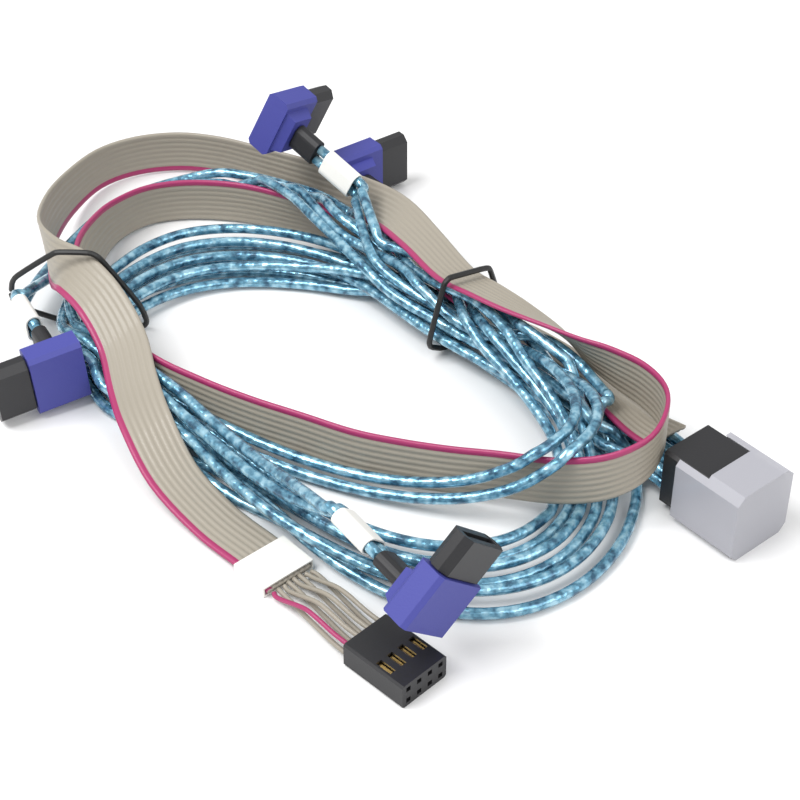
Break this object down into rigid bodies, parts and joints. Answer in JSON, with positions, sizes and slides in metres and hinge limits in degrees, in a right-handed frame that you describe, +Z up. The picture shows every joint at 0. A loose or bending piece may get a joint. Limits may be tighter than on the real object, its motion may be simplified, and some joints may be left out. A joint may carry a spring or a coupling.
{
  "type": "mini sas breakout cable",
  "caption": "Coiled breakout cable: a capped host plug feeding twin-lead strands to right-angle drive plugs and a flat ribbon to a small two-row socket, tied with wire ties",
  "frame": {"origin": "centre of the host dust cap's underside, on the surface the cable rests on", "axes": "+Z up; the coil lies flat in XY; +X points to the right of the picture and +Y away from the camera"},
  "size_m": [0.1526, 0.1694, 0.0328],
  "materials": {
    "housing": "moulded black plastic",
    "cap": "frosted translucent plastic",
    "card": "green circuit board",
    "mould": "blue-violet soft overmould",
    "shell": "moulded black plastic",
    "gold": "gold-plated contact",
    "sleeve": "black heat-shrink",
    "label": "matt off-white wrap label",
    "strand": "clear blue jacket over crinkled foil",
    "ribbon": "warm grey ribbed insulation, first way magenta",
    "tie": "black coated wire"
  },
  "bodies": {
    "root": {"host_housing": "housing", "host_paddle_card": "card", "host_dust_cap": "cap", "sata_1_overmould": "mould", "sata_1_shell": "shell", "sata_1_contacts": "gold", "sata_1_sleeve": "sleeve", "sata_1_label": "label", "sata_2_overmould": "mould", "sata_2_shell": "shell", "sata_2_contacts": "gold", "sata_2_sleeve": "sleeve", "sata_2_label": "label", "sata_3_overmould": "mould", "sata_3_shell": "shell", "sata_3_contacts": "gold", "sata_3_sleeve": "sleeve", "sata_3_label": "label", "sata_4_overmould": "mould", "sata_4_shell": "shell", "sata_4_contacts": "gold", "sata_4_sleeve": "sleeve", "sata_4_label": "label", "ribbon": "ribbon", "ribbon_label": "label", "socket_housing": "housing", "socket_terminal_1": "gold", "socket_terminal_2": "gold", "socket_terminal_3": "gold", "socket_terminal_4": "gold", "socket_terminal_5": "gold", "socket_terminal_6": "gold", "socket_terminal_7": "gold", "socket_terminal_8": "gold", "ribbon_wire_1": "ribbon", "ribbon_wire_2": "ribbon", "ribbon_wire_3": "ribbon", "ribbon_wire_4": "ribbon", "ribbon_wire_5": "ribbon", "ribbon_wire_6": "ribbon", "ribbon_wire_7": "ribbon", "ribbon_wire_8": "ribbon", "strand_1_1": "strand", "strand_1_2": "strand", "strand_2_1": "strand", "strand_2_2": "strand", "strand_3_1": "strand", "strand_3_2": "strand", "strand_4_1": "strand", "strand_4_2": "strand", "tie_left": "tie", "tie_right": "tie"}
  },
  "joints": []
}
